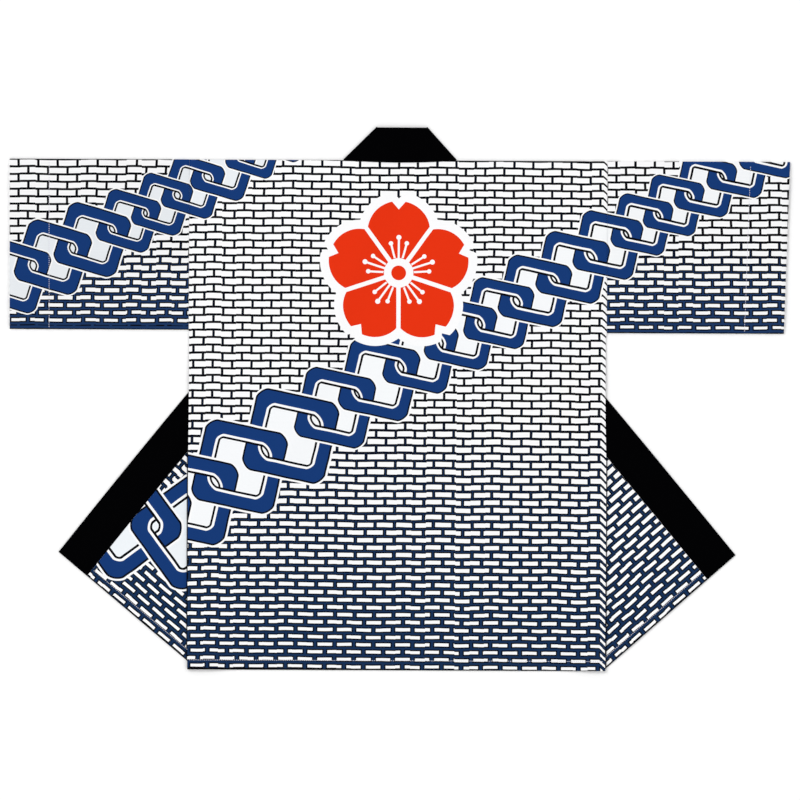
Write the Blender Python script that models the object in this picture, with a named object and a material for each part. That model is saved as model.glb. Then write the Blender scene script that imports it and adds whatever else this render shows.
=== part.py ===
# Happi coat in printed cotton, laid flat on a table with its back up.
# Lengths are in metres. +Z is up, +Y runs from the hem to the collar, and the table is at z = 0.
# The cloth lies in up to three layers. Under the back lie the two fronts, right side down,
# and each front is folded under itself along a slanted line, so that a flap with the
# collar band on its edge sticks out past the side seam.

import math
from collections import namedtuple

import bmesh
import bpy
from mathutils import Vector

# Thickness of the cloth, and the rise from one layer to the next
CLOTH_WALL = 0.0012
LAYER_RISE = 0.0021
SEAM_GAP = 0.0003

# Lines across the whole coat
SHOULDER_Y = 0.3808
HEM_Y = -0.4348
COLLAR_TOP_Y = 0.4336
SLEEVE_BOTTOM_Y = 0.1088

# Collar: half widths at the back of the neck, and the width of the band
NECK_HALF = 0.0896
COLLAR_TOP_HALF = 0.0392
COLLAR_TOP_SHIFT = 0.0029
NECK_DIP = 0.0035
BAND_WIDTH = 0.0595
BAND_START_Y = 0.372

# Each front, with distances measured outward from the middle and the angle in degrees.
# The bow is how far the collar seam swings towards the middle, half way down.
Front = namedtuple("Front", "name sign side_x fold_foot_x fold_angle hem_seam_x seam_bow")
FRONTS = (
    Front("left", -1, 0.3370, 0.3224, 20.0, 0.0890, 0.0070),
    Front("right", 1, 0.3320, 0.3295, 20.7, 0.1050, 0.0036),
)

# Each sleeve, with distances measured outward from the middle
Sleeve = namedtuple("Sleeve", "name sign armhole_x cuff_top_x cuff_bottom_x")
SLEEVES = (
    Sleeve("left", -1, 0.3370, 0.6240, 0.6229),
    Sleeve("right", 1, 0.3320, 0.6240, 0.6163),
)

# How softly an upper layer sinks to the table beside the layers under it
FLAT_MARGIN = 0.012
FRONT_SLOPE = 0.054
BACK_SLOPE = 0.060

# Mesh fineness
BEND_STEPS = 4
BACK_COLUMNS, BACK_ROWS = 26, 30
FRONT_COLUMNS, FRONT_ROWS = 8, 24
NECK_STEPS = 4
BAND_STEPS = 22
SLEEVE_STEPS = 6

FOLD_RADIUS = LAYER_RISE / 2
BEND_LENGTH = math.pi * FOLD_RADIUS
# A point this near a line between two strips of a bend, as a share of a strip, is on it
LINE_SHARE = 0.001
UP = Vector((0.0, 0.0, 1.0))


def remove_everything():
    for item in list(bpy.data.objects):
        bpy.data.objects.remove(item, do_unlink=True)


def make_collection(name):
    collection = bpy.data.collections.new(name)
    bpy.context.scene.collection.children.link(collection)
    return collection


def make_material(name, colour, roughness):
    material = bpy.data.materials.new(name)
    material.use_nodes = True
    shader = material.node_tree.nodes["Principled BSDF"]
    shader.inputs["Base Color"].default_value = (*colour, 1.0)
    shader.inputs["Roughness"].default_value = roughness
    shader.inputs["Metallic"].default_value = 0.0
    return material


def mix(start, end, share):
    return start + (end - start) * share


def fall(distance, slope):
    """1 up to the flat margin, then softly down to 0 over the slope's length."""
    share = min(1.0, max(0.0, (distance - FLAT_MARGIN) / slope))
    return 1.0 - share * share * (3.0 - 2.0 * share)


# The seam between a front and its collar band, and the band's free edge, before folding

def seam_x(front, y):
    share = (SHOULDER_Y - y) / (SHOULDER_Y - HEM_Y)
    bow = front.seam_bow * math.sin(math.pi * share)
    return front.sign * (mix(NECK_HALF, front.hem_seam_x, share) - bow)


def free_edge_x(front, y):
    return seam_x(front, y) - front.sign * BAND_WIDTH


# The slanted fold of a front

def fold_foot(front):
    return Vector((front.sign * front.fold_foot_x, HEM_Y))


def fold_direction(front):
    """Up along the fold, towards the neck."""
    angle = math.radians(front.fold_angle)
    return Vector((-front.sign * math.sin(angle), math.cos(angle)))


def fold_inward(front):
    """Across the fold, towards the part that is folded under."""
    angle = math.radians(front.fold_angle)
    return Vector((-front.sign * math.cos(angle), -math.sin(angle)))


def on_bend(strips):
    """A place on a half-round bend, counted in strips from its start.

    The bend is a chain of flat strips, so that pieces cut in different places still match.
    Gives how far across and how deep the place is, and the way its cloth faces there as
    (across, up), lengthened at the line between two strips so that the wall stays even.
    """
    strip_turn = math.pi / BEND_STEPS
    start = min(int(strips), BEND_STEPS - 1)
    share = strips - start
    across = mix(math.sin(start * strip_turn), math.sin((start + 1) * strip_turn), share)
    height = mix(math.cos(start * strip_turn), math.cos((start + 1) * strip_turn), share)
    nearest = round(strips)
    if abs(strips - nearest) < LINE_SHARE:
        before = max(0.0, (nearest - 0.5) * strip_turn)
        after = min(math.pi, (nearest + 0.5) * strip_turn)
    else:
        before = after = (start + 0.5) * strip_turn
    turn, length = (before + after) / 2, 1.0 / math.cos((after - before) / 2)
    facing = (length * math.sin(turn), length * math.cos(turn))
    return FOLD_RADIUS * across, FOLD_RADIUS * (1.0 - height), facing


def folded(front, x, y):
    """Where a point of the flat front lies once folded, how far it has dropped, and its facing."""
    inward = fold_inward(front)
    point = Vector((x, y))
    beyond = (point - fold_foot(front)).dot(inward)
    strips = beyond / BEND_LENGTH * BEND_STEPS
    if strips < -LINE_SHARE:
        return point, 0.0, UP
    if strips > BEND_STEPS + LINE_SHARE:
        return point + inward * (BEND_LENGTH - 2.0 * beyond), LAYER_RISE, -UP
    across, drop, facing = on_bend(min(max(strips, 0.0), BEND_STEPS))
    sideways = inward * facing[0]
    return point + inward * (across - beyond), drop, Vector((sideways.x, sideways.y, facing[1]))


def fold_apex(front):
    """Where the fold leaves the band's free edge."""
    foot, along = fold_foot(front), fold_direction(front)
    top, bottom = free_edge_x(front, SHOULDER_Y), free_edge_x(front, HEM_Y)
    lean = (top - bottom) / (SHOULDER_Y - HEM_Y)
    length = (bottom - foot.x) / (along.x - lean * along.y)
    return foot + along * length


def flap_corner(front):
    return folded(front, free_edge_x(front, HEM_Y), HEM_Y)[0]


# Heights of the layers

def past_flap(front, x, y):
    """Distance of a point from the flap, past its free edge or past its fold."""
    apex = fold_apex(front)
    edge = (flap_corner(front) - apex).normalized()
    outward = Vector((-edge.y, edge.x)) * front.sign
    point = Vector((x, y))
    past_edge = (point - apex).dot(outward)
    past_fold = (point - apex).dot(fold_inward(front))
    return max(past_edge, past_fold)


def past_front(front, x, y):
    """Distance of a point from the part of a front that isn't folded under."""
    past_fold = (Vector((x, y)) - fold_foot(front)).dot(fold_inward(front))
    past_edge = (free_edge_x(front, y) - x) * front.sign
    return max(past_fold, past_edge)


def front_lift(x, y):
    """How high the fronts' upper layer is lifted by the flaps."""
    return LAYER_RISE * max(fall(past_flap(front, x, y), FRONT_SLOPE) for front in FRONTS)


def back_lift(x, y):
    """How high the back is lifted by the layers under it."""
    over_front = max(fall(past_front(front, x, y), BACK_SLOPE) for front in FRONTS)
    return (front_lift(x, y) + LAYER_RISE) * over_front


# Pieces

def new_cloth(columns, rows):
    """A grid for the middle surface of a piece, and the layer for the way each corner faces."""
    cloth = bmesh.new()
    facing = cloth.verts.layers.float_vector.new("facing")
    bmesh.ops.create_grid(cloth, x_segments=columns, y_segments=rows, size=0.5)
    return cloth, facing


def finish_cloth(name, cloth, facing, material, collection):
    """Turns a middle surface into a closed wall of cloth, half of it to each side."""
    bmesh.ops.triangulate(cloth, faces=cloth.faces[:])
    lower = cloth.verts[:]
    raised = bmesh.ops.extrude_face_region(cloth, geom=cloth.faces[:], use_keep_orig=True)
    upper = [item for item in raised["geom"] if isinstance(item, bmesh.types.BMVert)]
    for corner in upper:
        corner.co += corner[facing] * (CLOTH_WALL / 2)
    for corner in lower:
        corner.co -= corner[facing] * (CLOTH_WALL / 2)
    bmesh.ops.recalc_face_normals(cloth, faces=cloth.faces[:])
    bmesh.ops.triangulate(cloth, faces=cloth.faces[:])
    cloth.verts.layers.float_vector.remove(facing)
    mesh = bpy.data.meshes.new(name)
    cloth.to_mesh(mesh)
    cloth.free()
    mesh.materials.append(material)
    mesh.shade_smooth()
    mesh.set_sharp_from_angle(angle=math.radians(35.0))
    piece = bpy.data.objects.new(name, mesh)
    collection.objects.link(piece)
    return piece


def cut_across_fold(mesh_data, front, faces):
    """Cuts a flat piece along the lines where its fold bends."""
    inward = fold_inward(front).to_3d()
    foot = fold_foot(front).to_3d()
    chosen = set(faces)
    for step in range(BEND_STEPS + 1):
        edges = {edge for face in chosen for edge in face.edges}
        corners = {corner for face in chosen for corner in face.verts}
        untouched = set(mesh_data.faces) - chosen
        bmesh.ops.bisect_plane(
            mesh_data,
            geom=list(chosen) + list(edges) + list(corners),
            dist=1e-6,
            plane_co=foot + inward * (BEND_LENGTH * step / BEND_STEPS),
            plane_no=inward,
        )
        chosen = set(mesh_data.faces) - untouched
    return chosen


def make_front(front, material, collection):
    cloth, facing = new_cloth(FRONT_COLUMNS, FRONT_ROWS)
    for corner in cloth.verts:
        y = mix(HEM_Y, SHOULDER_Y, corner.co.y + 0.5)
        inner_x = seam_x(front, y) + front.sign * SEAM_GAP
        x = mix(inner_x, front.sign * front.side_x, corner.co.x + 0.5)
        corner.co = Vector((x, y, 0.0))
    cut_across_fold(cloth, front, cloth.faces)
    for corner in cloth.verts:
        place, drop, corner[facing] = folded(front, corner.co.x, corner.co.y)
        z = CLOTH_WALL / 2 + front_lift(place.x, place.y) - drop
        corner.co = Vector((place.x, place.y, z))
    return finish_cloth("front_" + front.name, cloth, facing, material, collection)


def neck_line_y(x):
    """The back's upper edge: straight at the shoulders, with a shallow dip at the neck."""
    share = min(1.0, abs(x) / NECK_HALF)
    return SHOULDER_Y - NECK_DIP * (1.0 - share * share)


def make_back(material, collection):
    left, right = FRONTS
    seam_drop = LAYER_RISE - CLOTH_WALL - SEAM_GAP
    cloth, facing = new_cloth(BACK_COLUMNS, BACK_ROWS)
    for corner in cloth.verts:
        across, up = corner.co.x + 0.5, corner.co.y + 0.5
        x = mix(-left.side_x, right.side_x, across)
        y = mix(HEM_Y, neck_line_y(x), up)
        at_side_seam = min(across, 1.0 - across) < 1e-6 and y < SLEEVE_BOTTOM_Y
        at_shoulder = up > 1.0 - 1e-6 and abs(x) > NECK_HALF
        sewn_down = seam_drop if at_side_seam or at_shoulder else 0.0
        corner.co = Vector((x, y, CLOTH_WALL / 2 + back_lift(x, y) - sewn_down))
        corner[facing] = UP
    return finish_cloth("back", cloth, facing, material, collection)


def band_half(front):
    """Lines across the collar from the middle of the neck to one hem.

    Each line is its point on the free edge, its point on the seam and the band's facing.
    A point's height is its rise above the fronts' upper layer, as if nothing lay under it.
    """
    sign = front.sign
    neck_foot = Vector((sign * NECK_HALF, SHOULDER_Y + SEAM_GAP, 0.0))
    neck_head = Vector((sign * COLLAR_TOP_HALF + COLLAR_TOP_SHIFT, COLLAR_TOP_Y, 0.0))
    lines = []
    for step in range(NECK_STEPS):
        share = step / NECK_STEPS
        sewn_x = neck_foot.x * share
        free = Vector((mix(COLLAR_TOP_SHIFT, neck_head.x, share), COLLAR_TOP_Y, LAYER_RISE))
        sewn = Vector((sewn_x, neck_line_y(sewn_x) + SEAM_GAP, LAYER_RISE))
        lines.append((free, sewn, UP))
    slant = (neck_head - neck_foot).normalized()
    outward = Vector((slant.y, -slant.x, 0.0)) * sign
    for step in range(BEND_STEPS + 1):
        across, drop, facing = on_bend(step)
        shift = outward * across + UP * (LAYER_RISE - drop)
        lines.append((neck_head + shift, neck_foot + shift, outward * facing[0] + UP * facing[1]))
    first_free = Vector((free_edge_x(front, BAND_START_Y), BAND_START_Y, 0.0))
    first_sewn = Vector((seam_x(front, BAND_START_Y), BAND_START_Y, 0.0))
    lines.append((neck_head.lerp(first_free, 0.5), neck_foot.lerp(first_sewn, 0.5), -UP))
    for step in range(BAND_STEPS + 1):
        y = mix(BAND_START_Y, HEM_Y, step / BAND_STEPS)
        lines.append((Vector((free_edge_x(front, y), y, 0.0)), Vector((seam_x(front, y), y, 0.0)), -UP))
    return lines


def make_collar(material, collection):
    left, right = FRONTS
    lines = list(reversed(band_half(left)))[:-1] + band_half(right)
    band, facing = new_cloth(len(lines) - 1, 2)
    for corner in band.verts:
        free, sewn, corner[facing] = lines[round((corner.co.x + 0.5) * (len(lines) - 1))]
        corner.co = sewn.lerp(free, corner.co.y + 0.5)
    for front in FRONTS:
        lower = [
            face for face in band.faces
            if all(corner.co.z < 1e-6 and corner.co.x * front.sign > 0.0 for corner in face.verts)
        ]
        hanging = cut_across_fold(band, front, lower)
        for corner in {corner for face in hanging for corner in face.verts}:
            place, drop, up = folded(front, corner.co.x, corner.co.y)
            corner.co = Vector((place.x, place.y, -drop))
            if up != UP:
                corner[facing] = -up
    for corner in band.verts:
        x, y, rise = corner.co
        on_neck = rise > LAYER_RISE - 1e-6
        lift = back_lift(x, y) if on_neck else front_lift(x, y) + rise
        corner.co.z = CLOTH_WALL / 2 + lift
    return finish_cloth("collar", band, facing, material, collection)


def sleeve_ring():
    """The flattened loop of a sleeve's cloth: places across the sleeve, heights and facings."""
    middle_z = (LAYER_RISE + CLOTH_WALL) / 2
    ring = []
    for middle_y, way in ((SHOULDER_Y - middle_z, 1.0), (SLEEVE_BOTTOM_Y + middle_z, -1.0)):
        for step in range(BEND_STEPS + 1):
            across, drop, facing = on_bend(step)
            turned = Vector((0.0, way * facing[0], way * facing[1]))
            ring.append((middle_y + way * across, middle_z + way * (FOLD_RADIUS - drop), turned))
    return ring


def make_sleeve(sleeve, material, collection):
    ring = sleeve_ring()
    cloth, facing = new_cloth(len(ring), SLEEVE_STEPS)
    for corner in cloth.verts:
        y, z, corner[facing] = ring[round((corner.co.x + 0.5) * len(ring)) % len(ring)]
        share = (y - SLEEVE_BOTTOM_Y) / (SHOULDER_Y - SLEEVE_BOTTOM_Y)
        cuff_x = mix(sleeve.cuff_bottom_x, sleeve.cuff_top_x, share)
        x = mix(sleeve.armhole_x + SEAM_GAP, cuff_x, corner.co.y + 0.5)
        corner.co = Vector((sleeve.sign * x, y, z))
    bmesh.ops.remove_doubles(cloth, verts=cloth.verts[:], dist=1e-6)
    return finish_cloth("sleeve_" + sleeve.name, cloth, facing, material, collection)


def main():
    remove_everything()
    coat = make_collection("happi_coat")
    cotton = make_material("printed_cotton", (0.42, 0.46, 0.55), 0.85)
    black = make_material("black_cotton", (0.006, 0.006, 0.007), 0.8)
    make_back(cotton, coat)
    for front in FRONTS:
        make_front(front, cotton, coat)
    for sleeve in SLEEVES:
        make_sleeve(sleeve, cotton, coat)
    make_collar(black, coat)


main()
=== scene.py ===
import math

import bpy
import numpy as np
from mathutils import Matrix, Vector, noise


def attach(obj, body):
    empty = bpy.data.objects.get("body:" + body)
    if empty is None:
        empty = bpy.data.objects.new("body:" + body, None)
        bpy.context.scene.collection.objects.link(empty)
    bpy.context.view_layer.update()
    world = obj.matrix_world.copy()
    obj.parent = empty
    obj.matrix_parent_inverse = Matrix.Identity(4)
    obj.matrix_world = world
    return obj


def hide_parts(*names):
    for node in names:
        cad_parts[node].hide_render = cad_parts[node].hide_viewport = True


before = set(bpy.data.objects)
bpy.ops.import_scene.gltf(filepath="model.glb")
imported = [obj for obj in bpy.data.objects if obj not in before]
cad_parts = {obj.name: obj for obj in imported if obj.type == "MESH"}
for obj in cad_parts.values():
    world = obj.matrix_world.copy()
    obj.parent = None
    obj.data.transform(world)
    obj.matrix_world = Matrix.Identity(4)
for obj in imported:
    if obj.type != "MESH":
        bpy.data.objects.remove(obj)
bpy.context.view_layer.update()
print("frame loaded")

# All lengths are in metres. +Y runs from the hem to the collar.
coat = {
    "shoulderY": 0.3808,
    "hemY": -0.4348,
    "collarTopY": 0.4336,
    "neckHalf": 0.0896,
    "collarTopHalf": 0.0392,
    "collarTopShift": 0.0029,
    "neckDip": 0.0035,
    "bandWidth": 0.0595,
    "bandStartY": 0.372,   # where the band has come round to the front
    "seamGap": 0.0003,
    "layerRise": 0.0021,   # height that each layer adds to the one above it
    "cloth": 0.0007,       # thickness of the cotton
    "flatMargin": 0.012,   # how far a layer stays level past the one below it
    "frontSlope": 0.054,   # and how long its slope down to the table is
    "backSlope": 0.060,
    "sleeveFootY": 0.108,
}
# Each front has its side seam, the foot and slant of its fold, its collar seam at the hem and how far
# that seam bows to the middle, and how far the side seam draws in below the sleeve.
fronts = {
    "left": {"sign": -1, "sideX": 0.3370, "footX": 0.3224, "angle": 20.0, "hemSeamX": 0.0890, "seamBow": 0.0070,
             "drawIn": 0.0007},
    "right": {"sign": 1, "sideX": 0.3320, "footX": 0.3295, "angle": 20.7, "hemSeamX": 0.1050, "seamBow": 0.0036,
              "drawIn": 0.0016},
}
bendRadius = coat["layerRise"] / 2


def mix(start, end, share):
    return start + (end - start) * share


def soft(share):
    share = np.clip(share, 0.0, 1.0)
    return share * share * (3.0 - 2.0 * share)


def deselectAll():
    if bpy.context.mode != "OBJECT":
        bpy.ops.object.mode_set(mode="OBJECT")
    bpy.ops.object.select_all(action="DESELECT")


def makeActive(piece):
    deselectAll()
    piece.select_set(True)
    bpy.context.view_layer.objects.active = piece


def addGrid(name, columns, rows):
    deselectAll()
    bpy.ops.mesh.primitive_grid_add(x_subdivisions=columns, y_subdivisions=rows, size=1.0)
    piece = bpy.context.object
    piece.name = name
    piece.data.name = name
    return piece


def spaced(count, extras):
    # evenly spaced shares from 0 to 1, with extra ones where the shape needs them
    return np.sort(np.concatenate([np.linspace(0, 1, count + 1 - len(extras)), extras]))


def getCorners(piece):
    corners = np.empty(len(piece.data.vertices) * 3)
    piece.data.vertices.foreach_get("co", corners)
    return corners.reshape(-1, 3)


def setCorners(piece, corners):
    piece.data.vertices.foreach_set("co", np.ascontiguousarray(corners, dtype=np.float32).ravel())
    piece.data.update()


def setFlatMap(piece, flat):
    # the place of each corner on the flat cloth, in metres, for the print
    loopCorner = np.empty(len(piece.data.loops), dtype=np.int32)
    piece.data.loops.foreach_get("vertex_index", loopCorner)
    layer = piece.data.uv_layers[0]
    layer.name = "flatCloth"
    layer.data.foreach_set("uv", np.ascontiguousarray(flat[loopCorner], dtype=np.float32).ravel())


def applyModifier(piece, kind, **values):
    makeActive(piece)
    modifier = piece.modifiers.new(kind.lower(), kind)
    for key, value in values.items():
        setattr(modifier, key, value)
    bpy.ops.object.modifier_apply(modifier=modifier.name)


def giveThickness(piece, thickness, even=True):
    applyModifier(piece, "SOLIDIFY", thickness=thickness, offset=0.0, use_even_offset=even,
                  material_offset=1, material_offset_rim=0)
    makeActive(piece)
    bpy.ops.object.shade_smooth_by_angle(angle=math.radians(50))


def waves(points, size, seed):
    # slow unevenness between -1 and 1
    return np.array([noise.noise(Vector((x / size, y / size, seed))) for x, y in points[:, :2]])


def creases(points, lines):
    # soft ridges and troughs: each from one point to another, with its half width and height
    height = np.zeros(len(points))
    for startX, startY, endX, endY, width, rise in lines:
        start, end = np.array([startX, startY]), np.array([endX, endY])
        along = (points[:, :2] - start) @ (end - start) / np.sum((end - start) ** 2)
        nearest = start + np.clip(along, 0, 1)[:, None] * (end - start)
        away = np.linalg.norm(points[:, :2] - nearest, axis=1)
        ends = soft((along + 0.15) / 0.4) * soft((1.15 - along) / 0.4)
        height += rise * np.exp(-(away / width) ** 2) * ends
    return height


def seamX(front, y):
    share = (coat["shoulderY"] - y) / (coat["shoulderY"] - coat["hemY"])
    bow = front["seamBow"] * np.sin(math.pi * share)
    return front["sign"] * (mix(coat["neckHalf"], front["hemSeamX"], share) - bow)


def sideEdge(front, y):
    # the side seam draws in just below the sleeve, and runs out again further down
    below = coat["sleeveFootY"] - y
    return front["sideX"] - front["drawIn"] * soft(below / 0.012) * soft((0.218 - below) / 0.10)


def freeEdgeX(front, y):
    return seamX(front, y) - front["sign"] * coat["bandWidth"]


def foldLine(front):
    # foot of the fold at the hem, the way up along it, and the way across to the part folded under
    angle = math.radians(front["angle"])
    foot = np.array([front["sign"] * front["footX"], coat["hemY"]])
    along = np.array([-front["sign"] * math.sin(angle), math.cos(angle)])
    inward = np.array([-front["sign"] * math.cos(angle), -math.sin(angle)])
    return foot, along, inward


def foldUnder(front, points):
    foot, _, inward = foldLine(front)
    beyond = (points[:, :2] - foot) @ inward
    bend = math.pi * bendRadius
    turn = np.clip(beyond / bendRadius, 0.0, math.pi)
    across = bendRadius * np.sin(turn) - np.maximum(0.0, beyond - bend)
    place = np.where((beyond > 0)[:, None], points[:, :2] + inward * (across - beyond)[:, None], points[:, :2])
    return place, bendRadius * (1.0 - np.cos(turn))


def mirrored(front, points):
    # the flat front turned over its fold line, so that the map of the flap is its place on the table
    foot, _, inward = foldLine(front)
    beyond = (points[:, :2] - foot) @ inward
    return points[:, :2] + inward * (math.pi * bendRadius - 2.0 * beyond)[:, None]


def foldTop(front):
    # where the fold line meets the collar's free edge
    foot, along, _ = foldLine(front)
    top, bottom = freeEdgeX(front, coat["shoulderY"]), freeEdgeX(front, coat["hemY"])
    lean = (top - bottom) / (coat["shoulderY"] - coat["hemY"])
    return foot + along * (bottom - foot[0]) / (along[0] - lean * along[1])


def fallOff(distance, slope):
    return 1.0 - soft((distance - coat["flatMargin"]) / slope)


def frontLift(points):
    # how far the folded fronts lift what lies on them
    lift = np.zeros(len(points))
    for front in fronts.values():
        _, _, inward = foldLine(front)
        top = foldTop(front)
        corner = foldUnder(front, np.array([[freeEdgeX(front, coat["hemY"]), coat["hemY"]]]))[0][0]
        edge = (corner - top) / np.linalg.norm(corner - top)
        outward = np.array([-edge[1], edge[0]]) * front["sign"]
        past = np.maximum((points[:, :2] - top) @ outward, (points[:, :2] - top) @ inward)
        lift = np.maximum(lift, fallOff(past, coat["frontSlope"]))
    return lift * coat["layerRise"]


def backLift(points):
    # and how far the fronts and their flaps lift the back
    over = np.zeros(len(points))
    for front in fronts.values():
        foot, _, inward = foldLine(front)
        past = np.maximum((points[:, :2] - foot) @ inward,
                          (freeEdgeX(front, points[:, 1]) - points[:, 0]) * front["sign"])
        over = np.maximum(over, fallOff(past, coat["backSlope"]))
    return (frontLift(points) + coat["layerRise"]) * over


# A number that varies over a surface: each step adds one Math node.
class Field:
    def __init__(self, tree, socket):
        self.tree, self.socket = tree, socket

    def step(self, operation, *others, clamp=False):
        node = self.tree.nodes.new("ShaderNodeMath")
        node.operation = operation
        node.use_clamp = clamp
        for slot, item in zip(node.inputs, (self, *others)):
            if isinstance(item, Field):
                self.tree.links.new(item.socket, slot)
            else:
                slot.default_value = item
        return Field(self.tree, node.outputs[0])

    def __add__(self, other): return self.step("ADD", other)
    def __sub__(self, other): return self.step("SUBTRACT", other)
    def __rsub__(self, other): return (self * -1.0) + other
    def __mul__(self, other): return self.step("MULTIPLY", other)
    def __truediv__(self, other): return self.step("DIVIDE", other)
    def __lt__(self, other): return self.step("LESS_THAN", other)
    def __gt__(self, other): return self.step("GREATER_THAN", other)
    def __and__(self, other): return self.step("MINIMUM", other)
    def __or__(self, other): return self.step("MAXIMUM", other)
    def __invert__(self): return (self * -1.0) + 1.0
    def __abs__(self): return self.step("ABSOLUTE")
    def floor(self): return self.step("FLOOR")
    def part(self): return self.step("FRACT")
    def power(self, other): return self.step("POWER", other)
    def root(self): return self.step("SQRT")
    def clamped(self): return self.step("ADD", 0.0, clamp=True)


def srgb(red, green, blue):
    # screen colour, 0 to 255, as the linear colour that a shader takes
    linear = [((c / 255 + 0.055) / 1.055) ** 2.4 if c > 10 else c / 255 / 12.92 for c in (red, green, blue)]
    return (*linear, 1.0)


def newMaterial(name, colour, roughness):
    material = bpy.data.materials.new(name)
    material.use_nodes = True
    material.diffuse_color = colour
    shader = material.node_tree.nodes["Principled BSDF"]
    shader.inputs["Base Color"].default_value = colour
    shader.inputs["Roughness"].default_value = roughness
    return material, material.node_tree, shader


def addNoise(tree, vector, scale, detail=2.0):
    node = tree.nodes.new("ShaderNodeTexNoise")
    node.inputs["Scale"].default_value = scale
    node.inputs["Detail"].default_value = detail
    tree.links.new(vector, node.inputs["Vector"])
    return Field(tree, node.outputs["Fac"])


def paint(tree, under, over, mask, blend="MIX"):
    # lays a colour over another where the mask is 1
    node = tree.nodes.new("ShaderNodeMix")
    node.data_type = "RGBA"
    node.blend_type = blend
    for slot, item in ((node.inputs["Factor"], mask), (node.inputs["A"], under), (node.inputs["B"], over)):
        if isinstance(item, (tuple, float)):
            slot.default_value = item
        else:
            tree.links.new(item.socket if isinstance(item, Field) else item, slot)
    return node.outputs["Result"]


def clothPlace(tree):
    # place on the flat cloth: as a vector in metres, and as x and y in millimetres
    place = tree.nodes.new("ShaderNodeUVMap")
    place.uv_map = "flatCloth"
    split = tree.nodes.new("ShaderNodeSeparateXYZ")
    tree.links.new(place.outputs["UV"], split.inputs["Vector"])
    return place.outputs["UV"], Field(tree, split.outputs["X"]) * 1000.0, Field(tree, split.outputs["Y"]) * 1000.0


def mapped(tree, vector, change, values):
    # the vector after a change of its Location or Scale
    node = tree.nodes.new("ShaderNodeMapping")
    node.inputs[change].default_value = values
    tree.links.new(vector, node.inputs["Vector"])
    return node.outputs["Vector"]


def addBump(tree, shader, height, strength, distance):
    bump = tree.nodes.new("ShaderNodeBump")
    bump.inputs["Strength"].default_value = strength
    bump.inputs["Distance"].default_value = distance
    tree.links.new(height.socket, bump.inputs["Height"])
    tree.links.new(bump.outputs["Normal"], shader.inputs["Normal"])


inks = {
    "cloth": srgb(250, 250, 251),
    "line": srgb(3, 3, 8),
    "mortar": srgb(20, 46, 82),
    "sleeveMortar": srgb(27, 54, 96),
    "chain": srgb(19, 56, 116),
    "chainEdge": srgb(4, 7, 18),
    "red": srgb(229, 50, 14),
}

# Links of each chain, from lower left to upper right: middle x and y, width and height in millimetres.
# So are the white gap and the black line inside the openings; the other sizes are shares of a link's width.
chains = {
    "long": {"turn": 12.0, "lean": 12.6, "stroke": 0.147, "gap": 1.9, "line": 3.4, "facingCorner": 0.145,
             "inside": srgb(245, 247, 249), "links": [
        (-416, -214, 145, 155), (-334, -160, 135, 132), (-254.5, -110, 133, 131), (-173, -61, 134, 132),
        (-102, -15, 113, 113), (-32, 30, 113, 115), (34, 70.5, 104, 109), (98, 104, 102, 100),
        (159, 137.5, 98, 100), (217, 173, 103, 100), (277, 211, 103, 100), (333, 247, 98, 96),
        (387.5, 280, 87, 86), (438, 311, 85, 86), (489, 342, 87, 87), (541, 370.5, 89, 81),
        (592.5, 401.5, 88, 79)]},
    "short": {"turn": 16.5, "lean": 17.7, "stroke": 0.165, "gap": 0.8, "line": 2.8, "facingCorner": 0.11,
              "inside": srgb(233, 237, 241), "links": [
        (-615.5, 193, 95, 101), (-555, 224, 104, 101), (-492, 252, 103, 100.5), (-434, 282.5, 87, 85.5),
        (-380.5, 309, 81, 85.5), (-331, 337.5, 84.5, 86.5), (-282.5, 367, 88, 87.5), (-233.5, 395.5, 77, 74.5),
        (-187.5, 417.5, 72, 67)]},
    "front": {"turn": 53.7, "lean": 54.0, "stroke": 0.143, "gap": 2.1, "line": 3.8, "facingCorner": 0.10,
              "inside": srgb(238, 243, 247), "links": [
        (-441, -196, 149, 143), (-339, -216, 143, 137)]},
}
chainStyle = {"corner": 0.12, "innerCorner": 0.085, "halo": 0.034, "edge": 0.0105, "gapGrowth": 0.014}


def toRoundBox(besideU, besideV, corner):
    # distance outside a box with clipped corners, below 0 inside it
    u, v = besideU + corner, besideV + corner
    outside = ((u | 0.0).power(1.5) + (v | 0.0).power(1.5)).power(1 / 1.5)
    return outside + ((u | v) & 0.0) - corner


def stepped(passed, values):
    # the number that belongs to the link at hand: one value up to the first gate, the next up to the second
    total = values[0]
    for gate, before, after in zip(passed, values, values[1:]):
        total = gate.step("MULTIPLY_ADD", after - before, total)
    return total


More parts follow.
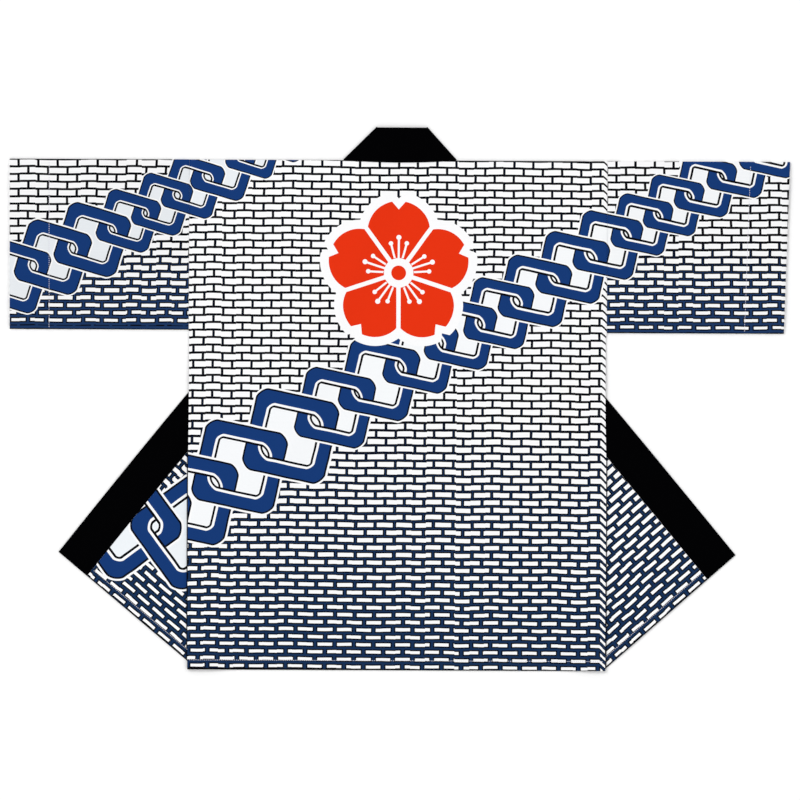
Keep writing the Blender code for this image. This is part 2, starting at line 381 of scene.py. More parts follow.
def printChain(tree, under, x, y, chain):
    cosTurn, sinTurn = math.cos(math.radians(chain["turn"])), math.sin(math.radians(chain["turn"]))
    cosLean, sinLean = math.cos(math.radians(chain["lean"])), math.sin(math.radians(chain["lean"]))
    u = x * cosLean - y * sinLean
    v = x * sinTurn + y * cosTurn
    onward = u + v
    halo, edge = chainStyle["halo"], chainStyle["edge"]
    links = []
    for first in (0, 1):  # every other link, so that two neighbours are known at each point
        middles = [(cx * cosLean - cy * sinLean, cx * sinTurn + cy * cosTurn, width, height)
                   for cx, cy, width, height in chain["links"][first::2]]
        passed = [onward > (sum(a) + sum(b[:2]) - sum(b[2:]) / 2 - sum(a[2:]) / 2) / 2
                  for a, b in zip(middles, middles[1:])]  # gates half way between two facing corners
        middleU, middleV, width, height = (stepped(passed, values) for values in zip(*middles))
        besideU = abs(u - middleU) / width - 0.5
        besideV = (abs(v - middleV) - height * 0.5) / width
        away = toRoundBox(besideU, besideV, chainStyle["corner"])
        facing = (u - middleU) * (v - middleV) > 0.0  # the corners towards the neighbours are cut more
        innerCorner = facing * (chain["facingCorner"] - chainStyle["innerCorner"]) + chainStyle["innerCorner"]
        hole = toRoundBox(besideU + chain["stroke"], besideV + chain["stroke"], innerCorner)
        depth = hole * width * -1.0 - width * chainStyle["gapGrowth"] - chain["gap"]  # past the white gap
        links.append((away, hole, depth, besideV > besideU))
    inStroke = [(away < 0.0) & (hole > 0.0) for away, hole, depth, level in links]
    inEdge = [abs(away) < edge for away, hole, depth, level in links]
    innerLine = [(depth > 0.0) & (depth < chain["line"]) for away, hole, depth, level in links]
    nearStroke = [(away < halo) & (depth < 0.0) for away, hole, depth, level in links]
    covered = (links[0][0] < halo) | (links[1][0] < halo)
    inside = ((links[0][2] > 0.0) & ~nearStroke[1]) | ((links[1][2] > 0.0) & ~nearStroke[0])
    colour = paint(tree, under, inks["cloth"], covered)
    colour = paint(tree, colour, chain["inside"], inside)
    lines = (innerLine[0] & ~nearStroke[1]) | (innerLine[1] & ~nearStroke[0])
    colour = paint(tree, colour, inks["line"], lines)
    colour = paint(tree, colour, inks["chain"], inStroke[0] | inStroke[1])
    colour = paint(tree, colour, inks["chainEdge"], inEdge[0] | inEdge[1])
    # the level bars pass over the upright ones, each with a white gap beside it
    for link, stroked, edged, near, lined in zip(links, inStroke, inEdge, nearStroke, innerLine):
        level = link[3]
        colour = paint(tree, colour, inks["cloth"], near & level)
        colour = paint(tree, colour, inks["line"], lined & level)
        colour = paint(tree, colour, inks["chain"], stroked & level)
        colour = paint(tree, colour, inks["chainEdge"], edged & level)
    return colour


def rowCurve(bricks):
    # the count of rows down from the shoulder, as a cubic, from the rows per metre at shoulder, middle and hem
    top, middle, hem = (perMetre / 1000 for perMetre in bricks["rowsPerMetre"])
    length = (coat["shoulderY"] - coat["hemY"]) * 1000
    return top, (4 * middle - 3 * top - hem) / (2 * length), (2 * top - 4 * middle + 2 * hem) / (3 * length ** 2)


brickStyle = {"levelJoint": 0.48, "uprightJoint": 0.54, "stripes": 1.3}  # half joints as shares of the full joint


def printBricks(tree, x, y, bricks):
    # bricks in running bond, whose joints grow from thin lines to broad bands towards the hem
    turn = math.radians(bricks["turn"])
    down = (x - bricks["topX"]) * math.sin(turn) - (y - bricks["topY"]) * math.cos(turn)
    along = (x - bricks["topX"]) * math.cos(turn) + (y - bricks["topY"]) * math.sin(turn)
    down = down - ((along - bricks["rollX"]) | 0.0) * bricks["roll"]  # the rows dip where the edge rolls under
    stripe = tree.nodes.new("ShaderNodeTexWhiteNoise")
    stripe.noise_dimensions = "1D"
    tree.links.new((along / bricks["columnPitch"] * brickStyle["stripes"]).floor().socket, stripe.inputs["W"])
    jog = (Field(tree, stripe.outputs["Value"]) - 0.5) * bricks["jog"]
    first, second, third = rowCurve(bricks)
    rows = down * (down * (down * third + second) + first) + bricks["rowPhase"] + jog
    row = rows.floor()
    pitch = down * -bricks["fan"] + bricks["columnPitch"]
    columns = (along - bricks["fanX"]) / pitch + (row * 0.5).part() + down * bricks["drift"]
    toRow = (0.5 - abs(rows.part() - 0.5)) / first
    toColumn = (0.5 - abs(columns.part() - 0.5)) * bricks["columnPitch"]
    share = ((down - bricks["growStart"]) / (bricks["growEnd"] - bricks["growStart"])).clamped()
    joint = share.power(bricks["growPower"]) * bricks["growBy"] + bricks["thin"]
    inside = (toRow - joint * brickStyle["levelJoint"]) & (toColumn - joint * brickStyle["uprightJoint"])
    inside = inside & (down * -1.0 + bricks["foot"])
    colour = paint(tree, inks["cloth"], inks["line"], inside < 0.0)
    colour = paint(tree, colour, inks[bricks["mortar"]], (inside < -bricks["edge"]) & (down < bricks["hemShadowLine"]))
    # painted contact shadow: a thin dark line along the bottom edge, below the last row
    return paint(tree, colour, inks["line"], down > bricks["hemShadowLine"])


# The crest's place, size, white border and gaps are in millimetres, the rest in shares of its radius.
blossom = {
    "x": -1.5, "y": 201.0, "radius": 118.0, "halo": 14.0, "gap": 3.4,
    "petalOut": 0.57, "petalRound": 0.405, "petalWide": 0.92, "notchOut": 0.86,
    "heart": 0.2, "eye": 0.1, "stem": 0.014, "tip": 0.034, "sideTip": 0.03,
}


def printBlossom(tree, under, x, y):
    # a five-petalled blossom crest
    dx, dy = x - blossom["x"], y - blossom["y"]
    radius = (dx * dx + dy * dy).root() / blossom["radius"]
    fifth = math.radians(72)
    angle = dx.step("ARCTAN2", dy)
    sector = ((angle / fifth + 0.5).part() - 0.5) * fifth
    out, side = radius * sector.step("COSINE"), abs(radius * sector.step("SINE"))
    petal = ((out - blossom["petalOut"]).power(2.0) + side * side * blossom["petalWide"]).root()
    petal = petal - blossom["petalRound"]
    petal = petal | ((out - blossom["notchOut"] - side * 1.15) * 0.8)
    gap = blossom["gap"] / blossom["radius"]
    toGap = radius * ((abs(sector) * -1.0) + fifth / 2).step("SINE")
    covered = petal < blossom["halo"] / blossom["radius"]
    colour = paint(tree, under, inks["cloth"], covered | (radius < 0.5))
    red = (petal < 0.0) & (toGap > gap) & (radius > blossom["heart"])
    colour = paint(tree, colour, inks["red"], red | (radius < blossom["eye"]))
    # a long stem up the middle of each petal, a shorter one to each side of it, and their tips
    stems = (side < blossom["stem"]) & (out > 0.15) & (out < 0.46)
    bent = abs(side - out * 0.27)
    stems = stems | ((bent < blossom["stem"]) & (out > 0.2) & (out < 0.38))
    tips = ((out - 0.48).power(2.0) + side * side).root() < blossom["tip"]
    tips = tips | (((out - 0.4).power(2.0) + (side - 0.108).power(2.0)).root() < blossom["sideTip"])
    return paint(tree, colour, inks["cloth"], stems | tips)


cotton = {
    "roughness": 0.82, "specular": 0.05, "sheen": 0.02, "sheenRoughness": 0.5,
    "wander": (3.2, 2.6), "wanderScale": 22.0,   # the print was drawn by hand, so its lines wander a little
    "chainWander": 0.8, "crestWander": 0.5,      # chain and crest wander less than the bricks
    "yarn": 0.08, "yarnScale": 900.0, "streakScale": (18.0, 420.0, 1.0),
    "threadPitch": 0.55, "weave": 0.25, "weaveDepth": 0.00012,   # a plain weave, too fine to see from afar
    "wrongSide": srgb(236, 237, 240),
}


def printedCotton(name, bricks, chainNames, crest=False, fade=0.0, streak=0.03, shadowEdgeAt=0.0):
    material, tree, shader = newMaterial(name, srgb(226, 229, 235), cotton["roughness"])
    place, x, y = clothPlace(tree)
    elsewhere = mapped(tree, place, "Location", (3.1, 5.7, 0.0))
    driftX = (addNoise(tree, place, cotton["wanderScale"]) - 0.5) * cotton["wander"][0]
    driftY = (addNoise(tree, elsewhere, cotton["wanderScale"]) - 0.5) * cotton["wander"][1]
    colour = printBricks(tree, x + driftX, y + driftY, bricks)
    chainX, chainY = x + driftX * cotton["chainWander"], y + driftY * cotton["chainWander"]
    for chainName in chainNames:
        colour = printChain(tree, colour, chainX, chainY, chains[chainName])
    if crest:
        colour = printBlossom(tree, colour, x + driftX * cotton["crestWander"], y + driftY * cotton["crestWander"])
    if shadowEdgeAt:  # painted shadow where the flap runs in under the back, gone 3 mm past the back's edge
        colour = paint(tree, colour, inks["line"], (abs(x) * -0.6 + (shadowEdgeAt * 0.6 + 1.6)).clamped())
    if fade:
        colour = paint(tree, colour, cotton["wrongSide"], fade)
    yarn = addNoise(tree, place, cotton["yarnScale"], 3.0) * cotton["yarn"] + (1.0 - streak)
    yarn = yarn - addNoise(tree, mapped(tree, place, "Scale", cotton["streakScale"]), 1.0, 3.0) * streak
    tree.links.new(paint(tree, colour, yarn, 1.0, blend="MULTIPLY"), shader.inputs["Base Color"])
    thread = 2 * math.pi / cotton["threadPitch"]
    weave = (x * thread).step("SINE") * (y * thread).step("SINE")
    addBump(tree, shader, weave, cotton["weave"], cotton["weaveDepth"])
    shader.inputs["Specular IOR Level"].default_value = cotton["specular"]
    shader.inputs["Sheen Weight"].default_value = cotton["sheen"]
    shader.inputs["Sheen Roughness"].default_value = cotton["sheenRoughness"]
    return material


blackTwill = {
    "roughness": 0.9, "specular": 0.01, "dark": srgb(0, 0, 1), "light": srgb(4, 4, 5),
    "ribPitch": 1.3, "fuzzScale": 1400.0, "ribs": 0.35, "ribDepth": 0.0002,
}


def twill(name):
    material, tree, shader = newMaterial(name, srgb(2, 2, 3), blackTwill["roughness"])
    place, x, y = clothPlace(tree)
    ribs = ((x + y) * (2 * math.pi / blackTwill["ribPitch"])).step("SINE")
    fuzz = addNoise(tree, place, blackTwill["fuzzScale"], 3.0)
    addBump(tree, shader, ribs * 0.5 + fuzz, blackTwill["ribs"], blackTwill["ribDepth"])
    colour = paint(tree, blackTwill["dark"], blackTwill["light"], fuzz)
    tree.links.new(colour, shader.inputs["Base Color"])
    shader.inputs["Specular IOR Level"].default_value = blackTwill["specular"]
    return material


def threadMaterial(name, colour):
    material, tree, shader = newMaterial(name, colour, 0.6)
    place = tree.nodes.new("ShaderNodeTexCoord")
    strands = addNoise(tree, place.outputs["Object"], 2500.0, 2.0)
    tinted = paint(tree, tuple(c * 0.8 for c in colour[:3]) + (1.0,), colour, strands)
    tree.links.new(tinted, shader.inputs["Base Color"])
    return material


px = 1.6  # one picture element of the photo, in millimetres

# Bricks of the body, in millimetres down from the shoulder and along the rows. The joints start thin and grow.
bodyBricks = {
    "topX": 0.0, "topY": 380.8, "turn": -0.3,
    "rowsPerMetre": (85.42, 82.362, 84.78), "rowPhase": 0.026, "jog": 0.12,
    "columnPitch": 19.21 * px, "fanX": -1.8, "fan": -6.0e-4, "drift": 0.9e-4,   # the columns fan out a little
    "growStart": 370.0, "growEnd": 816.0, "growPower": 1.15, "growBy": 2.5 * px, "thin": 2.3 * px,
    # the last entry below is where the painted contact shadow along the hem begins
    "mortar": "mortar", "edge": 1.2 * px, "foot": 999.0, "hemShadowLine": 814.3,
    "rollX": 326.0, "roll": 0.9,
}
unrolled = {**bodyBricks, "rollX": 9999.0}
sleeveJoints = {"turn": 0.0, "growStart": 110.0, "growPower": 1.3, "growBy": 2.8 * px,
                "mortar": "sleeveMortar", "edge": 1.3 * px}
sleeveBricks = {
    "left": {**unrolled, **sleeveJoints, "rowsPerMetre": (83.47, 83.47, 83.47), "rowPhase": 0.04,
             "columnPitch": 19.75 * px, "fanX": -610.4, "fan": 0.00818, "drift": -1.5e-4,
             "growEnd": 268.0, "foot": 264.5, "hemShadowLine": 270.6},
    "right": {**unrolled, **sleeveJoints, "rowsPerMetre": (84.23, 84.23, 84.23), "rowPhase": 0.15,
              "columnPitch": 19.1 * px, "fanX": 407.4, "fan": 0.0, "drift": -3.0e-4,
              "growEnd": 270.0, "hemShadowLine": 273.0},
}


def flapBricks(front):
    # the same rows on a front, turned over the fold
    corners = mirrored(front, np.array([[0.0, coat["shoulderY"]], [-0.1, coat["shoulderY"]]])) * 1000
    along = corners[1] - corners[0]
    turn = math.degrees(math.atan2(along[1], along[0]))
    return {**unrolled, "topX": corners[0][0], "topY": corners[0][1], "turn": turn}


paints = {
    "back": printedCotton("backPrint", bodyBricks, ["short", "long"], crest=True),
    "leftSleeve": printedCotton("leftSleevePrint", sleeveBricks["left"], ["short"], streak=0.07),
    "rightSleeve": printedCotton("rightSleevePrint", sleeveBricks["right"], ["long"], streak=0.05),
    # the flaps get a painted shadow beside the back's side edges
    "leftFlap": printedCotton("leftFrontPrint", flapBricks(fronts["left"]), ["front"], shadowEdgeAt=337.0),
    "rightFlap": printedCotton("rightFrontPrint", flapBricks(fronts["right"]), [], shadowEdgeAt=332.0),
    "inside": printedCotton("clothInside", bodyBricks, [], fade=0.72),
    "band": twill("blackTwill"),
    "thread": threadMaterial("whiteThread", srgb(226, 224, 238)),
}
print("materials made")


def finishPiece(piece, nodes, outer, inner):
    piece.data.materials.clear()
    piece.data.materials.append(outer)
    piece.data.materials.append(inner)
    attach(piece, "root")
    if nodes:
        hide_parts(*nodes)


sewn = np.array([-0.0026, -0.0013, 0.0, 0.0013, 0.0026])  # lines of corners beside a row of stitches
stitchDip = {"width": 0.0012, "depth": 0.0003}


def hemStep(fromHem, hem, rise):
    # the turned-up hem stands a little higher, and dips along its stitches
    dip = stitchDip["depth"] * np.exp(-((fromHem - hem) / stitchDip["width"]) ** 2)
    return rise * soft((hem - fromHem) / stitchDip["width"]) - dip


back = {
    "columns": 134, "rows": 164,
    "hem": 0.0152, "hemRise": 0.0004,
    "slowWave": 0.0006, "smallWave": 0.00022, "hemWave": 0.00025,
    "roundEdge": 0.003, "sideDrop": 0.0008, "topDrop": 0.0006, "footDrop": 0.0003,
    "creases": [
        (-0.30, 0.33, -0.10, 0.10, 0.016, 0.0010), (0.28, 0.30, 0.14, -0.02, 0.018, 0.0011),
        (-0.22, -0.02, -0.27, -0.36, 0.014, 0.0008), (0.25, -0.10, 0.21, -0.40, 0.015, 0.0009),
        (-0.05, 0.05, 0.02, -0.30, 0.024, 0.0009), (0.05, 0.33, -0.02, 0.18, 0.018, 0.0007),
        (-0.31, 0.10, -0.18, 0.02, 0.013, 0.0009), (0.31, 0.12, 0.20, 0.05, 0.013, 0.0008),
        (-0.12, -0.25, -0.09, -0.41, 0.018, 0.0008), (0.08, -0.16, 0.12, -0.42, 0.017, 0.0007),
    ],
}


def neckLineY(x):
    share = np.minimum(1.0, np.abs(x) / coat["neckHalf"])
    return coat["shoulderY"] - coat["neckDip"] * (1.0 - share * share)


def backHeight(points):
    # middle of the cloth above the table
    fromHem = points[:, 1] - coat["hemY"]
    fromSide = np.minimum(points[:, 0] + sideEdge(fronts["left"], points[:, 1]),
                          sideEdge(fronts["right"], points[:, 1]) - points[:, 0])
    fromTop = neckLineY(points[:, 0]) - points[:, 1]
    slow = waves(points, 0.16, 3.0) * back["slowWave"] + waves(points, 0.05, 7.0) * back["smallWave"]
    slow += back["slowWave"] + creases(points, back["creases"])
    height = coat["cloth"] / 2 + backLift(points)
    height += slow * soft(np.minimum(fromSide, fromTop) / 0.03) * soft(fromHem / 0.02)
    height += (waves(points, 0.045, 11.0) + 1.0) * back["hemWave"] * soft(1 - fromHem / 0.03)
    height += hemStep(fromHem, back["hem"], back["hemRise"])
    drop = np.clip(1 - fromSide / back["roundEdge"], 0, 1) ** 2 * back["sideDrop"]
    drop += np.clip(1 - fromTop / back["roundEdge"], 0, 1) ** 2 * back["topDrop"]
    drop += np.clip(1 - fromHem / stitchDip["width"], 0, 1) ** 2 * back["footDrop"]
    return np.maximum(height - drop, coat["cloth"] / 2)


def makeBack():
    piece = addGrid("backCloth", back["columns"], back["rows"])
    corners = getCorners(piece)
    across = corners[:, 0] + 0.5
    height = coat["shoulderY"] - coat["hemY"]
    shares = spaced(back["rows"], (back["hem"] + sewn) / height)
    up = shares[np.rint((corners[:, 1] + 0.5) * back["rows"]).astype(int)]
    y = mix(coat["hemY"], neckLineY(mix(-fronts["left"]["sideX"], fronts["right"]["sideX"], across)), up)
    x = mix(-sideEdge(fronts["left"], y), sideEdge(fronts["right"], y), across)
    flat = np.column_stack([x, y])
    setFlatMap(piece, flat)
    setCorners(piece, np.column_stack([x, y, backHeight(flat)]))
    giveThickness(piece, coat["cloth"])
    finishPiece(piece, ["back"], paints["back"], paints["inside"])
    return piece


frontSettings = {
    "columns": 48, "rows": 156, "bendSteps": 8,
    "hem": 0.0136, "hemRise": 0.0004, "slowWave": 0.0006, "bulge": 0.0005,
    "creases": {
        "left": [(-0.48, -0.22, -0.36, -0.34, 0.012, 0.0012), (-0.40, -0.14, -0.34, -0.26, 0.011, 0.0009),
                 (-0.44, -0.30, -0.38, -0.38, 0.010, 0.0008)],
        "right": [(0.47, -0.21, 0.36, -0.36, 0.012, 0.0012), (0.40, -0.13, 0.35, -0.24, 0.011, 0.0009),
                  (0.44, -0.29, 0.37, -0.39, 0.010, 0.0008)],
    },
}


def flapWaves(side, place):
    # unevenness of what shows of the flap, none of it under the back
    edge = fronts[side]["sideX"]
    shown = soft((np.abs(place[:, 0]) - edge - 0.004) / 0.035) * (np.sign(place[:, 0]) == fronts[side]["sign"])
    slow = waves(place, 0.08, 21.0) * frontSettings["slowWave"] + frontSettings["bulge"]
    return (slow + creases(place, frontSettings["creases"][side])) * shown


def frontHeight(side, flat):
    place, drop = foldUnder(fronts[side], flat)
    fromHem = flat[:, 1] - coat["hemY"]
    height = coat["cloth"] / 2 + frontLift(place) - drop + flapWaves(side, place)
    turned = np.where(drop > bendRadius, 1.0, 0.0)
    height += turned * hemStep(fromHem, frontSettings["hem"], frontSettings["hemRise"])
    return place, np.maximum(height, coat["cloth"] / 2)


def cutAtBend(piece, front, steps, choose):
    # adds an edge along each line where the fold bends, in the faces that are chosen
    foot, _, inward = foldLine(front)
    makeActive(piece)
    bpy.ops.object.mode_set(mode="EDIT")
    for step in range(steps + 1):
        choose()
        place = foot + inward * (math.pi * bendRadius * step / steps)
        bpy.ops.mesh.bisect(plane_co=(*place, 0.0), plane_no=(*inward, 0.0), threshold=1e-6)
    bpy.ops.object.mode_set(mode="OBJECT")


def makeFront(side):
    front = fronts[side]
    piece = addGrid(side + "Front", frontSettings["columns"], frontSettings["rows"])
    corners = getCorners(piece)
    height = coat["shoulderY"] - coat["hemY"]
    shares = spaced(frontSettings["rows"], (frontSettings["hem"] + sewn) / height)
    up = shares[np.rint((corners[:, 1] + 0.5) * frontSettings["rows"]).astype(int)]
    y = mix(coat["hemY"], coat["shoulderY"], up)
    innerX = seamX(front, y) + front["sign"] * coat["seamGap"]
    x = mix(innerX, front["sign"] * sideEdge(front, y), corners[:, 0] + 0.5)
    setCorners(piece, np.column_stack([x, y, np.zeros(len(x))]))
    if front["sign"] > 0:  # the print faces the table, and shows where the front is turned over
        makeActive(piece)
        bpy.ops.object.mode_set(mode="EDIT")
        bpy.ops.mesh.select_all(action="SELECT")
        bpy.ops.mesh.flip_normals()
        bpy.ops.object.mode_set(mode="OBJECT")
    cutAtBend(piece, front, frontSettings["bendSteps"], lambda: bpy.ops.mesh.select_all(action="SELECT"))
    flat = getCorners(piece)[:, :2].copy()
    setFlatMap(piece, mirrored(front, flat))
    place, height = frontHeight(side, flat)
    setCorners(piece, np.column_stack([place, height]))
    giveThickness(piece, coat["cloth"], even=False)  # the cuts at the fold leave slivers
    finishPiece(piece, ["front_" + side], paints[side + "Flap"], paints["inside"])
    return piece


sleeves = {
    "left": {"sign": -1, "armholeX": 0.3370, "cuffTopX": 0.6240, "cuffBottomX": 0.6229, "bottomY": 0.1088,
             "creases": [(-0.36, 0.34, -0.48, 0.20, 0.016, 0.0014), (-0.42, 0.30, -0.58, 0.26, 0.014, 0.0011),
                         (-0.36, 0.15, -0.50, 0.14, 0.013, 0.0010)]},
    "right": {"sign": 1, "armholeX": 0.3320, "cuffTopX": 0.6237, "cuffBottomX": 0.6148, "bottomY": 0.1064,
              "creases": [(0.36, 0.33, 0.50, 0.21, 0.016, 0.0014), (0.44, 0.32, 0.59, 0.24, 0.014, 0.0010),
                          (0.36, 0.16, 0.49, 0.13, 0.013, 0.0011)]},
}
sleeveShape = {"across": 54, "along": 58, "facing": 0.0625, "facingRows": 13, "cloth": 0.0005,
               "halfHeight": 0.00135, "facingHalfHeight": 0.0007, "bendSteps": 6,
               "slowWave": 0.0009, "bulge": 0.0011, "cuffRise": 0.0004, "seamDrop": 0.0006}


def cuffX(sleeve, y):
    share = (y - sleeve["bottomY"]) / (coat["shoulderY"] - sleeve["bottomY"])
    return mix(sleeve["cuffBottomX"], sleeve["cuffTopX"], share)


def sleevePuff(side, points):
    # how far the upper layer stands off the lower one
    sleeve = sleeves[side]
    fromArmhole = np.abs(points[:, 0]) - sleeve["armholeX"]
    fromCuff = cuffX(sleeve, points[:, 1]) - np.abs(points[:, 0])
    fromFold = np.minimum(coat["shoulderY"] - points[:, 1], points[:, 1] - sleeve["bottomY"])
    slow = waves(points, 0.11, 31.0 + sleeve["sign"]) * sleeveShape["slowWave"] + sleeveShape["bulge"]
    puff = (slow + creases(points, sleeve["creases"])) * soft(fromFold / 0.035) * soft(fromArmhole / 0.03)
    dip = np.exp(-((fromCuff - sleeveShape["facing"]) / 0.0016) ** 2)
    lift = soft((sleeveShape["facing"] - fromCuff) / 0.002)
    seamDrop = np.clip(1 - fromArmhole / 0.003, 0, 1) ** 2 * sleeveShape["seamDrop"]
    return puff + (lift - dip) * sleeveShape["cuffRise"] * soft(fromFold / 0.01) - seamDrop


def sleeveLoop(sleeve):
    # one turn round the flattened sleeve: place across it, and which way from its middle height
    radius = sleeveShape["halfHeight"]
    top, bottom = coat["shoulderY"] - radius, sleeve["bottomY"] + radius
    loop = [(mix(top, bottom, step / sleeveShape["across"]), 0.0, 1.0) for step in range(sleeveShape["across"])]
    for step in range(sleeveShape["bendSteps"]):
        turn = math.pi * step / sleeveShape["bendSteps"]
        loop.append((bottom, -math.sin(turn), math.cos(turn)))
    loop += [(mix(bottom, top, step / sleeveShape["across"]), 0.0, -1.0) for step in range(sleeveShape["across"])]
    for step in range(sleeveShape["bendSteps"]):
        turn = math.pi * step / sleeveShape["bendSteps"]
        loop.append((top, math.sin(turn), -math.cos(turn)))
    return np.array(loop)


def makeSleeve(side):
    sleeve = sleeves[side]
    loop = sleeveLoop(sleeve)
    rows = sleeveShape["along"] + 2 + sleeveShape["facingRows"]
    piece = addGrid(side + "Sleeve", len(loop), rows)
    corners = getCorners(piece)
    around = np.rint((corners[:, 0] + 0.5) * len(loop)).astype(int) % len(loop)
    row = np.rint((corners[:, 1] + 0.5) * rows).astype(int)
    middleY, outY, outZ = loop[around].T
    inFacing = np.clip(row - sleeveShape["along"], 0, 2) / 2
    size = mix(sleeveShape["halfHeight"], sleeveShape["facingHalfHeight"], inFacing)
    y = middleY + outY * size
    cuffRound = 0.0003
    edgeX = cuffX(sleeve, y) - cuffRound
    length = sleeve["cuffBottomX"] - sleeve["armholeX"]
    shares = spaced(sleeveShape["along"], 1 - (sleeveShape["facing"] + sewn) / length)
    share = shares[np.clip(row, 0, sleeveShape["along"])]
    outer = np.where(share > 0.6, edgeX - (1 - share) * length,
                     mix(sleeve["armholeX"] + coat["seamGap"], edgeX - 0.4 * length, share / 0.6))
    inward = np.clip((row - sleeveShape["along"] - 1) / (rows - sleeveShape["along"] - 1), 0, 1)
    x = np.where(row <= sleeveShape["along"], outer, edgeX - sleeveShape["facing"] * inward)
    x = np.where(row == sleeveShape["along"] + 1, edgeX + cuffRound, x) * sleeve["sign"]
    middle = sleeveShape["halfHeight"] + sleeveShape["cloth"] / 2
    puff = sleevePuff(side, np.column_stack([x, middleY]))
    z = middle + outZ * size + np.where(outZ > 0, puff * outZ, 0.0)
    # the print runs on over the fold at the shoulder
    flatY = np.where(outZ >= 0, y, 2 * coat["shoulderY"] - y)
    setFlatMap(piece, np.column_stack([x, flatY]))
    setCorners(piece, np.column_stack([x, y, z]))
    makeActive(piece)
    bpy.ops.object.mode_set(mode="EDIT")
    bpy.ops.mesh.select_all(action="SELECT")
    bpy.ops.mesh.remove_doubles(threshold=1e-6)
    bpy.ops.mesh.normals_make_consistent(inside=False)
    bpy.ops.object.mode_set(mode="OBJECT")
    giveThickness(piece, sleeveShape["cloth"])
    finishPiece(piece, ["sleeve_" + side], paints[side + "Sleeve"], paints["inside"])
    return piece


band = {"across": 10, "step": 0.006, "neckSteps": 12, "bendSteps": 8, "cloth": 0.0011}


def bandHalf(front):
    # lines across the collar from the middle of the neck to one hem: free edge, seam, and rise
    sign, rise = front["sign"], coat["layerRise"]
    foot = np.array([sign * coat["neckHalf"], coat["shoulderY"] + coat["seamGap"]])
    head = np.array([sign * coat["collarTopHalf"] + coat["collarTopShift"], coat["collarTopY"]])
    lines = []
    for step in range(band["neckSteps"]):
        share = step / band["neckSteps"]
        sewnX = foot[0] * share
        sewnY = neckLineY(np.array([sewnX]))[0] + coat["seamGap"]
        lines.append(((mix(coat["collarTopShift"], head[0], share), coat["collarTopY"]), (sewnX, sewnY), rise))
    slant = (head - foot) / np.linalg.norm(head - foot)
    outward = np.array([slant[1], -slant[0]]) * sign
    for step in range(band["bendSteps"] + 1):
        turn = math.pi * step / band["bendSteps"]
        shift = outward * bendRadius * math.sin(turn)
        lines.append((head + shift, foot + shift, rise - bendRadius * (1 - math.cos(turn))))
    startY = coat["bandStartY"]
    first = (freeEdgeX(front, startY), startY), (seamX(front, startY), startY)
    for share in (0.25, 0.5, 0.75):
        lines.append((mix(head, np.array(first[0]), share), mix(foot, np.array(first[1]), share), 0.0))
    steps = int((startY - coat["hemY"]) / band["step"])
    for step in range(steps + 1):
        y = mix(startY, coat["hemY"], step / steps)
        lines.append(((freeEdgeX(front, y), y), (seamX(front, y), y), 0.0))
    return [np.array([*free, *sewn, height]) for free, sewn, height in lines]


def chooseLower(piece, front):
    # the collar's faces below the neck, on one side
    bpy.ops.mesh.select_mode(type="FACE")
    bpy.ops.mesh.select_all(action="DESELECT")
    bpy.ops.object.mode_set(mode="OBJECT")
    corners = getCorners(piece)
    for face in piece.data.polygons:
        ends = corners[list(face.vertices)]
        face.select = bool(np.all(ends[:, 2] < 1e-5) and np.all(ends[:, 0] * front["sign"] > 0))
    bpy.ops.object.mode_set(mode="EDIT")


def makeCollar():
    lines = np.array(bandHalf(fronts["left"])[::-1][:-1] + bandHalf(fronts["right"]))
    piece = addGrid("collarBand", len(lines) - 1, band["across"])
    corners = getCorners(piece)
    line = lines[np.rint((corners[:, 0] + 0.5) * (len(lines) - 1)).astype(int)]
    share = (corners[:, 1] + 0.5)[:, None]
    setCorners(piece, np.column_stack([mix(line[:, 2:4], line[:, 0:2], share), line[:, 4]]))
    for front in fronts.values():
        cutAtBend(piece, front, band["bendSteps"], lambda: chooseLower(piece, front))
    corners = getCorners(piece)
    flat, rise = corners[:, :2].copy(), corners[:, 2].copy()
    setFlatMap(piece, flat)
    place, drop = flat.copy(), np.zeros(len(flat))
    for front in fronts.values():
        lower = (rise < 1e-5) & (flat[:, 0] * front["sign"] > 0)
        place[lower], drop[lower] = foldUnder(front, flat[lower])
    onNeck = rise > coat["layerRise"] - 1e-5
    height = band["cloth"] / 2 + np.where(onNeck, backLift(place), frontLift(place) + rise) - drop
    for side, front in fronts.items():
        turned = (drop > bendRadius) & (flat[:, 0] * front["sign"] > 0)
        height[turned] += flapWaves(side, place[turned])
    setCorners(piece, np.column_stack([place, np.maximum(height, band["cloth"] / 2)]))
    giveThickness(piece, band["cloth"], even=False)
    finishPiece(piece, ["collar"], paints["band"], paints["band"])
    return piece


backPiece = makeBack()
print("back made")
frontPieces = {side: makeFront(side) for side in fronts}
print("fronts made")
sleevePieces = {side: makeSleeve(side) for side in sleeves}
print("sleeves made")
collarPiece = makeCollar()
print("collar made")


stitch = {"length": 0.0026, "pitch": 0.0034, "width": 0.0011, "height": 0.0006, "wander": 0.00012}


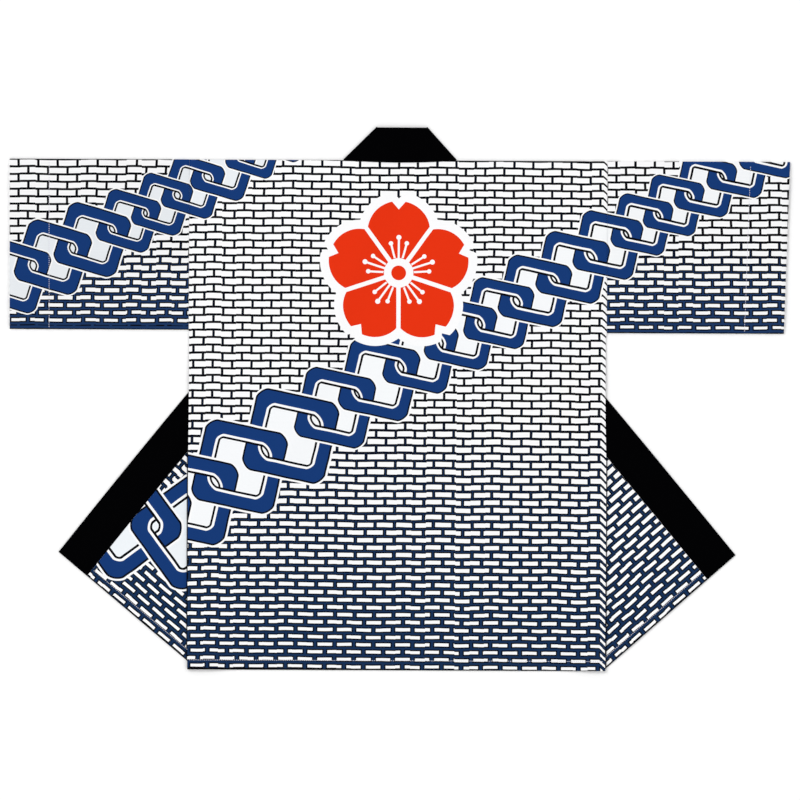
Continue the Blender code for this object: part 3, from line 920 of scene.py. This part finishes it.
def stitchRow(name, start, end, heightAt, placeAt=None):
    # one stitch is modelled and repeated along the row, then laid on the cloth
    start, end = np.array(start), np.array(end)
    length = np.linalg.norm(end - start)
    deselectAll()
    middle = (stitch["length"] / 2, 0, 0)
    bpy.ops.mesh.primitive_uv_sphere_add(segments=8, ring_count=4, radius=0.5, location=middle)
    row = bpy.context.object
    row.name = name
    row.data.name = name
    bpy.ops.object.mode_set(mode="EDIT")
    bpy.ops.mesh.select_all(action="SELECT")
    bpy.ops.transform.resize(value=(stitch["length"], stitch["width"], stitch["height"]))
    bpy.ops.object.mode_set(mode="OBJECT")
    bpy.ops.object.transform_apply(location=True, rotation=True, scale=True)
    applyModifier(row, "ARRAY", count=int(length / stitch["pitch"]), use_relative_offset=False,
                  use_constant_offset=True, constant_offset_displace=(stitch["pitch"], 0, 0))
    corners = getCorners(row)
    along = (end - start) / length
    across = np.array([-along[1], along[0]])
    flat = start + corners[:, :1] * along + corners[:, 1:2] * across
    number = np.floor(corners[:, 0] / stitch["pitch"])
    flat += (stitch["wander"] * np.sin(number * 2.4))[:, None] * across
    setCorners(row, np.column_stack([placeAt(flat) if placeAt else flat, heightAt(flat) + corners[:, 2]]))
    makeActive(row)
    bpy.ops.object.shade_smooth()
    row.data.materials.append(paints["thread"])
    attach(row, "root")


def onBack(flat):
    return backHeight(flat) + coat["cloth"] / 2


def onSleeve(side):
    top = sleeveShape["halfHeight"] * 2 + sleeveShape["cloth"]
    return lambda flat: top + sleevePuff(side, flat)


def onFlap(side):
    return lambda flat: frontHeight(side, flat)[1] + coat["cloth"] / 2


hemLine, inset = coat["hemY"] + back["hem"], 0.0025
hemEnds = [(front["sign"] * (front["sideX"] - inset), hemLine) for front in fronts.values()]
stitchRow("backHemStitches", *hemEnds, onBack)
for side, sleeve in sleeves.items():
    inset = sleeveShape["facing"]
    low, high = sleeve["bottomY"] + 0.003, coat["shoulderY"] - 0.003
    start = (sleeve["sign"] * (cuffX(sleeve, low) - inset), low)
    end = (sleeve["sign"] * (cuffX(sleeve, high) - inset), high)
    stitchRow(side + "CuffStitches", start, end, onSleeve(side))
for side, front in fronts.items():
    hemLine = coat["hemY"] + frontSettings["hem"]
    start = (seamX(front, hemLine) + front["sign"] * 0.003, hemLine)
    end = (front["sign"] * (front["footX"] - 0.008), hemLine)
    stitchRow(side + "HemStitches", start, end, onFlap(side), lambda flat: foldUnder(front, flat)[0])
print("stitches made")

studio = {"table": srgb(255, 255, 255), "tableSize": 60.0, "world": 0.80, "key": 340.0, "fill": 80.0}

deselectAll()
bpy.ops.mesh.primitive_plane_add(size=studio["tableSize"], location=(0, 0, -0.0004))
table = bpy.context.object
table.name = "table"
tableMaterial, _, tableShader = newMaterial("paleTable", studio["table"], 0.9)
tableShader.inputs["Specular IOR Level"].default_value = 0.0
table.data.materials.append(tableMaterial)

world = bpy.data.worlds.new("studio")
bpy.context.scene.world = world
world.use_nodes = True
backdrop = world.node_tree.nodes["Background"]
backdrop.inputs["Color"].default_value = (1.0, 1.0, 1.0, 1.0)
backdrop.inputs["Strength"].default_value = studio["world"]


def addSoftbox(name, place, size, power):
    deselectAll()
    bpy.ops.object.light_add(type="AREA", location=place)
    lamp = bpy.context.object
    lamp.name = name
    lamp.data.shape = "RECTANGLE"
    lamp.data.size, lamp.data.size_y = size
    lamp.data.energy = power
    lamp.rotation_euler = (Vector((0, 0, 0)) - Vector(place)).to_track_quat("-Z", "Y").to_euler()


addSoftbox("keyBox", (-6.0, 5.0, 8.0), (4.0, 4.0), studio["key"])
addSoftbox("fillBox", (6.0, -3.0, 8.0), (5.0, 5.0), studio["fill"])

deselectAll()
bpy.ops.object.camera_add(location=(0.0016, -0.0024, 3.0), rotation=(0, 0, math.radians(0.25)))
camera = bpy.context.object
camera.data.type = "ORTHO"
camera.data.ortho_scale = 1.28
bpy.context.scene.camera = camera
bpy.context.scene.view_settings.view_transform = "Standard"  # keeps the white table white and the inks true
print("studio made")
